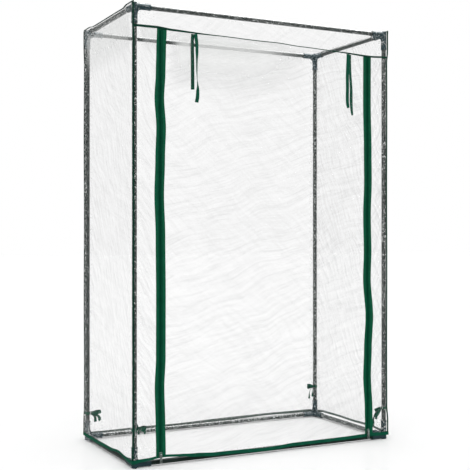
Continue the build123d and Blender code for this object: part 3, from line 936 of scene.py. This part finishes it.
def bindings():
    """One long tape a side: up the front edge, over the roof and down the back."""
    low = HEM_Z + HEM_WIDTH / 2
    for side, turn in SIDES:
        route = rounded_route(
            [(BINDING_FRONT, low), (BINDING_FRONT, BINDING_ROOF), (BINDING_BACK, BINDING_ROOF),
             (BINDING_BACK, low)],
            BINDING_BEND, 0.0045,
        )
        waver = 0.0005 * np.sin(route[:, 1] * 11 + turn) + 0.0003 * np.sin(route[:, 0] * 31)
        path = rows_of(turn * BINDING_X + waver, *route.T)
        foot = np.clip(1 - (path[:, 2] - low) / 0.2, 0, 1) ** 2
        path[:, 2] += hem_rise(path[:, 0], path[:, 1]) * foot
        rise = path[:, 2] - route[:, 1]
        path = snug(path)
        across = (turn, 0, 0)
        tape = swept(f"binding_{side}", path, across, folded_tape(BINDING_WIDTH, BINDING_THICK))
        ear_path = curve_through(
            [(turn * BINDING_X, BINDING_FRONT, BINDING_ROOF - 0.012),
             (turn * BINDING_X, BINDING_FRONT, BINDING_ROOF - 0.003),
             (turn * (BINDING_X + 0.0004), BINDING_FRONT - 0.0003, EAR_TOP - EAR_DROP[side])],
            0.0022,
        )
        ear = swept("ear", ear_path, across, folded_tape(BINDING_WIDTH * 0.86, BINDING_THICK))
        piece = outward(joined(f"binding_{side}", [tape, ear]))
        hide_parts(*[f"binding_{side}_{part}" for part in ("front", "top", "back")])
        dress(piece, BINDING_CLOTH)
        way_y, way_z = np.gradient(route, axis=0).T
        sewn = route + unit(rows_of(-way_z, way_y)) * (0.42 * BINDING_THICK)
        line = rows_of(turn * (BINDING_X - 0.33 * BINDING_WIDTH) + waver, *sewn.T)
        line[:, 2] += rise
        stitches(f"binding_{side}_stitches", [snug(line)[2:-2]], seed=3 + turn)


def hem(name, runs, out, nodes, body=FRAME_BODY, cloth=HEM_CLOTH):
    """A folded tape along the lower edge over one or more runs, hanging with the cover."""
    tapes, lines = [], []
    for first, last in runs:
        path = rows_of(*resampled([first, last], 0.006).T, HEM_Z)
        rise = hem_rise(path[:, 0], path[:, 1])
        path[:, 2] += rise
        ripple = 0.0004 * np.sin(path[:, 0] * 37 + path[:, 1] * 41)
        path[:, :2] += np.outer(ripple, out[:2])
        section = folded_tape(HEM_WIDTH, HEM_THICK)
        tape = swept(name, path, (0, 0, -1), section)
        rolled = 1 - 0.30 * smooth((rise - 0.003) / 0.005)
        for vertex in tape.data.vertices:
            k = min(vertex.index // len(section), len(path) - 1)
            vertex.co.z = path[k, 2] + (vertex.co.z - path[k, 2]) * rolled[k]
        tapes.append(tape)
        line = path + np.asarray(out) * HEM_THICK * 0.42
        line[:, 2] += 0.33 * HEM_WIDTH * rolled
        lines.append(line)
    piece = outward(joined(name, tapes))
    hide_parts(*nodes)
    dress(piece, cloth, body)
    stitches(name + "_stitches", lines, body, facing=tuple(out))


def hems():
    side_x = middle("hem_right").x
    front_y, back_y = middle("hem_door").y, middle("hem_back").y
    reach = side_x + HEM_THICK / 2
    stay = {side: ZIP_CENTRE[side] + turn * ZIP_SPLIT for side, turn in SIDES}
    door = {side: ZIP_CENTRE[side] - turn * ZIP_SPLIT for side, turn in SIDES}
    # The back and right hems take the paler copy with painted glare
    hem(
        "hem_back_tape", [((-reach, back_y), (reach, back_y))], (0, 1, 0), ["hem_back"],
        cloth=HEM_CLOTH_PAINTED_GLARE,
    )
    for side, turn in SIDES:
        run = ((turn * side_x, front_y), (turn * side_x, back_y))
        cloth = HEM_CLOTH if side == "left" else HEM_CLOTH_PAINTED_GLARE
        hem(f"hem_{side}_tape", [run], (turn, 0, 0), [f"hem_{side}"], cloth=cloth)
    beside_left, beside_right = (-reach, stay["left"]), (stay["right"], reach)
    runs = [((first, front_y), (last, front_y)) for first, last in (beside_left, beside_right)]
    hem("hem_front_tape", runs, (0, -1, 0), ["hem_front"])
    hem(
        "hem_door_tape", [((door["left"], front_y), (door["right"], front_y))], (0, -1, 0),
        ["hem_door"], "door_hem",
    )


def seam_piping():
    """The rolled seam that the door hangs from, fuller at its two ends."""
    low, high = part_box("seam_piping")
    x = np.linspace(low.x, high.x, 240)
    z = PIPING.z + eased(x, SEAM_RISE) + 0.0004 * np.sin(x * 29 + 0.6)
    path = rows_of(x, PIPING.y, z)
    angles = np.linspace(0, math.tau, 13)[:-1]
    half_height, half_depth = (high.z - low.z) / 2, (high.y - low.y) / 2
    section = [(half_height * math.cos(a), half_depth * math.sin(a)) for a in angles]
    piece = swept("seam_piping_roll", path, UP, section)
    full = 0.50 + 0.60 * smooth((np.abs(x) - 0.20) / 0.22) + 0.25 * smooth((-0.18 - x) / 0.10)
    for vertex in piece.data.vertices:
        k = vertex.index // len(section)
        if k < len(x):
            vertex.co.z = z[k] + (vertex.co.z - z[k]) * full[k]
    outward(piece)
    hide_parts("seam_piping")
    dress(piece, BINDING_CLOTH)
    line = rows_of(x, PIPING.y - half_depth * 0.80, z - half_height * 0.34 * full)
    stitches("seam_piping_stitches", [line[2:-2]], seed=9)


# ---------------------------------------------------------------- zips


def zip_shift(side, z, off):
    """How far a zip's tape waves to the right, off from its middle; the coil runs nearly true."""
    wave = eased(z, ZIP_WAVES[side])
    coil = 0.35 * wave * smooth((z - 0.08) / 0.10) * smooth((1.24 - z) / 0.08)
    return coil + (wave - coil) * smooth((off - 0.0035) / 0.008)


def zip_half(side, turn, part):
    """One half of a zip: core tape beside the coil, sewn under a lighter outer strip."""
    stays = part == "stay"
    outer = turn if stays else -turn
    centre = ZIP_CENTRE[side]
    z = resampled([[HEM_Z + 0.002], [ZIP_TOP + 0.002]], 0.006)[:, 0]

    def placed(points):
        """Waves points of the straight zip, then hangs them from the seam and the hem."""
        points[..., 0] += zip_shift(side, points[..., 2], np.abs(points[..., 0] - centre))
        return hang(points)

    def strip(name, near, far, base, material):
        path = rows_of(centre + outer * (near + far) / 2, base - ZIP_TAPE_THICK / 2, z)
        made = swept(name, path, (outer, 0, 0), flat_ribbon(far - near, ZIP_TAPE_THICK))
        grid = placed(np.array([v.co for v in made.data.vertices]))
        made.data.vertices.foreach_set("co", grid.ravel())
        made.data.materials.append(material)
        return made

    core = strip("core", 0.0, CORE_EDGE, TAPE_BACK, ZIP_CORE)
    cover = strip("strip", STRIP_EDGE, ZIP_HALF, TAPE_BACK - STRIP_STEP, ZIP_CLOTH)
    tape = outward(joined(f"zip_{side}_{part}_tape", [core, cover]))
    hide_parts(f"zip_{side}_{part}_half")
    dress(tape, None)

    # Each turn of one half's coil reaches past the middle, between two turns of the other half
    low = HEM_Z + HEM_WIDTH / 2 + 0.004 + (0 if stays else COIL_PITCH / 2)
    turns = np.arange(low, ZIP_TOP - 0.003, COIL_PITCH)
    coil_half = (ZIP_SPLIT + 0.0024) / 2
    coil_y = (COIL_FRONT + TAPE_BACK - ZIP_TAPE_THICK) / 2
    line = rows_of(centre + outer * (coil_half - 0.0003), coil_y, turns)
    depth = TAPE_BACK - ZIP_TAPE_THICK - COIL_FRONT
    coil = beads(
        f"zip_{side}_{part}_coil", [placed(line)], COIL_PITCH,
        (0.00102, coil_half, depth / 2), COIL, (0, -1, 0), 0.12 * outer,
    )
    dress(coil, None)
    sewn_y = TAPE_BACK - 0.0005 - ZIP_TAPE_THICK
    lines = [placed(rows_of(centre + outer * off, sewn_y, z))[2:-2] for off in SEWN_LINES]
    sewn = stitches(f"zip_{side}_{part}_stitches", lines, seed=17)
    if not stays:
        for piece in (tape, coil, sewn):
            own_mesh(piece)


# ---------------------------------------------------------------- ribbons


def ribbon(name, points, sides, width, thick, step=0.003):
    """A ribbon along a smooth line; sides gives the way its width points at each chosen point."""
    path = curve_through(points, step)
    chosen = run_along(points)
    at = np.linspace(0, 1, len(path))
    across = rows_of(*(np.interp(at, chosen / chosen[-1], side) for side in np.transpose(sides)))
    return swept(name, path, across, flat_ribbon(width, thick))


def turned(degrees):
    """Width direction of a hanging ribbon, turned about the vertical."""
    angle = math.radians(degrees)
    return (math.cos(angle), math.sin(angle), 0.0)


# Each door ribbon, from its seam down: share of its length, step to the right, step outwards
# from the film, and how far it is turned about the vertical in degrees
DOOR_RIBBONS = {
    "left_outer": [
        (0.00, -0.0014, 0.0, -14), (0.07, 0.0006, 0.0008, -4), (0.15, 0.0022, 0.0018, 6),
        (0.27, 0.0018, 0.0030, 16), (0.39, 0.0002, 0.0042, 42), (0.56, -0.0004, 0.0050, 50),
        (0.67, 0.0006, 0.0050, 62), (0.76, 0.0034, 0.0044, 40), (0.84, 0.0052, 0.0030, 4),
        (0.92, 0.0042, 0.0022, -18), (1.00, 0.0008, 0.0018, -24),
    ],
    "left_inner": [
        (0.00, 0.0, 0.0, -10), (0.12, -0.0016, 0.0006, -4), (0.28, -0.0010, 0.0008, -22),
        (0.55, 0.0002, 0.0010, -26), (0.80, 0.0002, 0.0006, -20), (1.00, 0.0006, 0.0010, -24),
    ],
    "right_outer": [
        (0.00, 0.0010, 0.0, -10), (0.14, -0.0016, 0.0006, -24), (0.40, -0.0042, 0.0012, -14),
        (0.62, -0.0034, 0.0010, -10), (0.84, -0.0046, 0.0014, -14), (0.94, -0.0028, 0.0020, -8),
        (1.00, -0.0008, 0.0026, 8),
    ],
    "right_inner": [
        (0.00, -0.0071, 0.0, -8), (0.16, -0.0047, 0.0010, 4), (0.34, -0.0019, 0.0012, 12),
        (0.56, 0.0007, 0.0010, 2), (0.76, 0.0013, 0.0012, -8), (0.90, 0.0037, 0.0020, 6),
        (1.00, 0.0087, 0.0028, 24),
    ],
}


def door_ribbons():
    for key, shape in DOOR_RIBBONS.items():
        node_name = f"door_tie_{key}"
        low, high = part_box(node_name)
        length, width = high.z - low.z, high.x - low.x
        x, y = (low.x + high.x) / 2, (low.y + high.y) / 2
        top = high.z + float(eased(np.array(x), SEAM_RISE))
        outward_way, clear = (-1, 0.0004) if key.endswith("outer") else (1, 0.0009)
        points = []
        for share, right, off, degrees in shape:
            stands = off + clear * min(1, share * 20)
            stands += 0.42 * width * abs(math.sin(math.radians(degrees))) * min(1, 0.3 + share * 5)
            points.append((x + right, y + outward_way * stands, top - share * length * 0.985))
        piece = ribbon(
            node_name + "_ribbon", points, [turned(row[-1]) for row in shape], width, high.y - low.y
        )
        outward(piece)
        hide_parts(node_name)
        dress(piece, RIBBON_CLOTH, f"tie_{key}")


# Loops and tails of each bow about its post: the tips, in millimetres from the knot, with +X
# the way the bow points
BOWS = {
    "front_left": ([(31, 2, 2), (-8, 15, 26)], [(25, -6, -14), (10, 13, -20)]),
    "front_right": ([(27, 6, -30), (17, -12, -10)], [(34, 2, -62), (14, -10, -42)]),
    "back_left": ([(36, -5, 6), (24, 13, -2)], [(34, -8, -26), (16, 10, -34)]),
    "back_right": ([(30, 5, 8), (18, -12, -6)], [(13, -7, -50), (10, 11, -40)]),
}
BOW_RIBBON = (0.0102, 0.0006)  # width and thickness, drawn narrower by the knot
KNOT_TURNS = 1.35


def loop_points(tip):
    """A loop from the knot out to its tip and back, standing on its edge as the wrap does."""
    tip = np.asarray(tip, float) / 1000
    reach = np.linalg.norm(tip)
    way = tip / reach
    side = unit(np.array(UP) - way * way[2] + 0.35 * np.cross(way, UP))
    up = np.cross(side, way)
    swell = 0.20 * reach
    shape = [(0, 0), (0.35, 0.7), (0.72, 1.0), (0.98, 0.45), (0.98, -0.45), (0.70, -0.9),
             (0.33, -0.6), (0, 0)]
    return [way * reach * a + up * swell * b for a, b in shape], [side] * len(shape)


def tail_points(tip):
    """A cut end that falls from the knot and curls a little, its face towards the door."""
    tip = np.asarray(tip, float) / 1000
    way = tip / np.linalg.norm(tip)
    face = unit(np.array([0.55, -1.0, 0.1]))
    side = unit(np.cross(way, face))
    out = np.array([tip[0], tip[1], 0.0]) * 0.35
    points = [np.zeros(3), tip * 0.3 + out, tip * 0.62 + out * 0.8, tip * 0.88 + out * 0.1, tip]
    sides = [side, side + 0.3 * face, side, side - 0.35 * face, side - 0.6 * face]
    return points, sides


def post_ribbons():
    width, thick = BOW_RIBBON
    for corner, tips in BOWS.items():
        tie, post = f"post_tie_{corner}", middle(f"post_{corner}_lower")
        low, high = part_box(tie)
        post_r = size(f"post_{corner}_lower").x / 2
        inward = Vector((-1 if post.x > 0 else 1, -1 if post.y > 0 else 1))
        reach_x, reach_y = (
            high[k] - post[k] if inward[k] > 0 else post[k] - low[k] for k in (0, 1)
        )
        angle = math.atan2(inward.y * max(reach_y - 0.012, 0.004), inward.x * reach_x)
        centre = Vector((post.x, post.y, low.z + 0.052))
        ring_r, knot_r = post_r + 0.0009, 0.0042
        knot = np.array([ring_r + knot_r, 0.0, 0.0])
        a = np.linspace(0.12, math.tau - 0.12, 25)
        circle = rows_of(ring_r * np.cos(a), ring_r * np.sin(a), 0.0006 * np.sin(2 * a))
        made = [ribbon("wrap", circle, [UP] * 25, width, thick, 0.002)]
        a = np.linspace(0, math.tau * KNOT_TURNS, 22)
        drawn, rise = knot_r * (0.9 + 0.05 * a / math.tau), knot_r * 1.1
        wound = knot + rows_of(drawn * np.cos(a), 0.0018 * (a / math.tau - 0.7), rise * np.sin(a))
        made.append(ribbon("knot", wound, [(0, 1, 0.15)] * 22, width * 0.85, thick * 1.3, 0.0012))
        length = ring_r * math.tau + knot_r * math.tau * KNOT_TURNS
        for shape_points, chosen in zip((loop_points, tail_points), tips):
            for points, sides in map(shape_points, chosen):
                made.append(ribbon("end", [knot + p for p in points], sides, width, thick, 0.002))
                length += float(run_along(points)[-1])
        corner_way = Vector((-inward.x, -inward.y, 0)).normalized()
        corner_way = Matrix.Rotation(-angle, 3, "Z") @ corner_way
        seam_x, seam_y = FILM_SIDE - abs(post.x) - SNUG[0], FILM_BACK - abs(post.y) - SNUG[0]
        seam = math.hypot(seam_x, seam_y) - 0.0012
        lead = [corner_way * ring_r, corner_way * (ring_r + seam) / 2, corner_way * seam]
        made.append(ribbon("lead", lead, [UP] * 3, width, thick, 0.002))
        length += seam - ring_r
        piece = joined(tie + "_bow", made)
        piece.data.transform(Matrix.Translation(centre) @ Matrix.Rotation(angle, 4, "Z"))
        outward(piece)
        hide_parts(tie)
        dress(piece, RIBBON_CLOTH)


# ---------------------------------------------------------------- frame, studio, camera


def dress_frame():
    """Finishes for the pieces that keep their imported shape."""
    # The rear posts, rails and connectors take the copies with painted highlights
    finish = {
        "connector_front": PLASTIC, "connector_back": PLASTIC_PAINTED_GLINTS, "post_front": STEEL,
        "post_back_left": STEEL_FEWER_PAINTED_GLINTS, "post_back_right": STEEL_PAINTED_GLINTS, "rail_": STEEL,
        # The front and left bottom rails take the copy with painted shade
        "rail_left_bottom": STEEL_PAINTED_SHADE, "rail_front_bottom": STEEL_PAINTED_SHADE,
        "rail_back_bottom": STEEL_PAINTED_GLINTS, "rail_right_bottom": STEEL_PAINTED_GLINTS,
        "zip_left_slider": SLIDER_METAL, "zip_right_slider": SLIDER_METAL,
        "zip_left_pull": PULL_METAL, "zip_right_pull": PULL_METAL,
    }
    for name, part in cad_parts.items():
        for start, material in finish.items():
            if name.startswith(start):
                for slot in part.material_slots:
                    slot.material = material


def card(name, place, target, width, height, power):
    """A lit card that shows only in glossy reflections."""
    data = bpy.data.lights.new(name, "AREA")
    data.shape = "RECTANGLE"
    data.size, data.size_y, data.energy = width, height, power
    lamp = linked(bpy.data.objects.new(name, data))
    lamp.location = place
    lamp.rotation_euler = (Vector(target) - Vector(place)).to_track_quat("-Z", "Y").to_euler()
    lamp.visible_diffuse = lamp.visible_transmission = False


def studio():
    scene = bpy.context.scene
    scene.view_settings.view_transform = "Standard"
    floor = new_object(
        "studio_floor", [(-30, -30, 0), (30, -30, 0), (30, 30, 0), (-30, 30, 0)], [(0, 1, 2, 3)]
    )
    floor.data.materials.append(studio_floor())

    scene.world = bpy.data.worlds.new("white studio")
    tree = emptied(scene.world)
    way = node(tree, "ShaderNodeTexCoord").outputs["Generated"]
    height = node(tree, "ShaderNodeSeparateXYZ", {0: way}).outputs["Z"]
    sky = ranged(tree, height, 0.0, 0.8, 0.40, 1.10)
    seen = node(tree, "ShaderNodeLightPath").outputs["Is Camera Ray"]
    strength = node(tree, "ShaderNodeMix", {"Factor": seen, 2: sky, 3: 1.0}, data_type="FLOAT")
    white = {"Color": (1, 1, 1, 1), "Strength": strength.outputs[0]}
    light = node(tree, "ShaderNodeBackground", white)
    node(tree, "ShaderNodeOutputWorld", {"Surface": light.outputs[0]})

    data = bpy.data.lights.new("overhead", "SUN")
    data.energy, data.angle = 0.74, math.radians(70)
    overhead = linked(bpy.data.objects.new("overhead", data))
    overhead.rotation_euler = (math.radians(24), math.radians(-10), 0)
    card("left card", (-2.6, -2.4, 1.6), (0, 0, 0.8), 0.35, 2.6, 45)
    card("right card", (2.8, -2.0, 1.5), (0, 0, 0.8), 0.35, 2.4, 45)
    card("top card", (0.2, 0.3, 3.3), (0.2, 0.3, 0), 5.0, 4.0, 900)


EYE, EYE_TURN, LENS = (-1.5817, -3.0953, 0.7504), -27.009, 72.35


def camera():
    data = bpy.data.cameras.new("camera")
    data.lens, data.sensor_width, data.clip_end = LENS, 36.0, 100
    made = linked(bpy.data.objects.new("camera", data))
    made.location = EYE
    made.rotation_euler = (math.radians(90), 0, math.radians(EYE_TURN))
    bpy.context.scene.camera = made


dress_frame()
cover_sheet()
side_sheets()
strip_sheets()
door_sheet()
bindings()
hems()
seam_piping()
for side, turn in SIDES:
    zip_half(side, turn, "stay")
    zip_half(side, turn, "door")
door_ribbons()
post_ribbons()
studio()
camera()
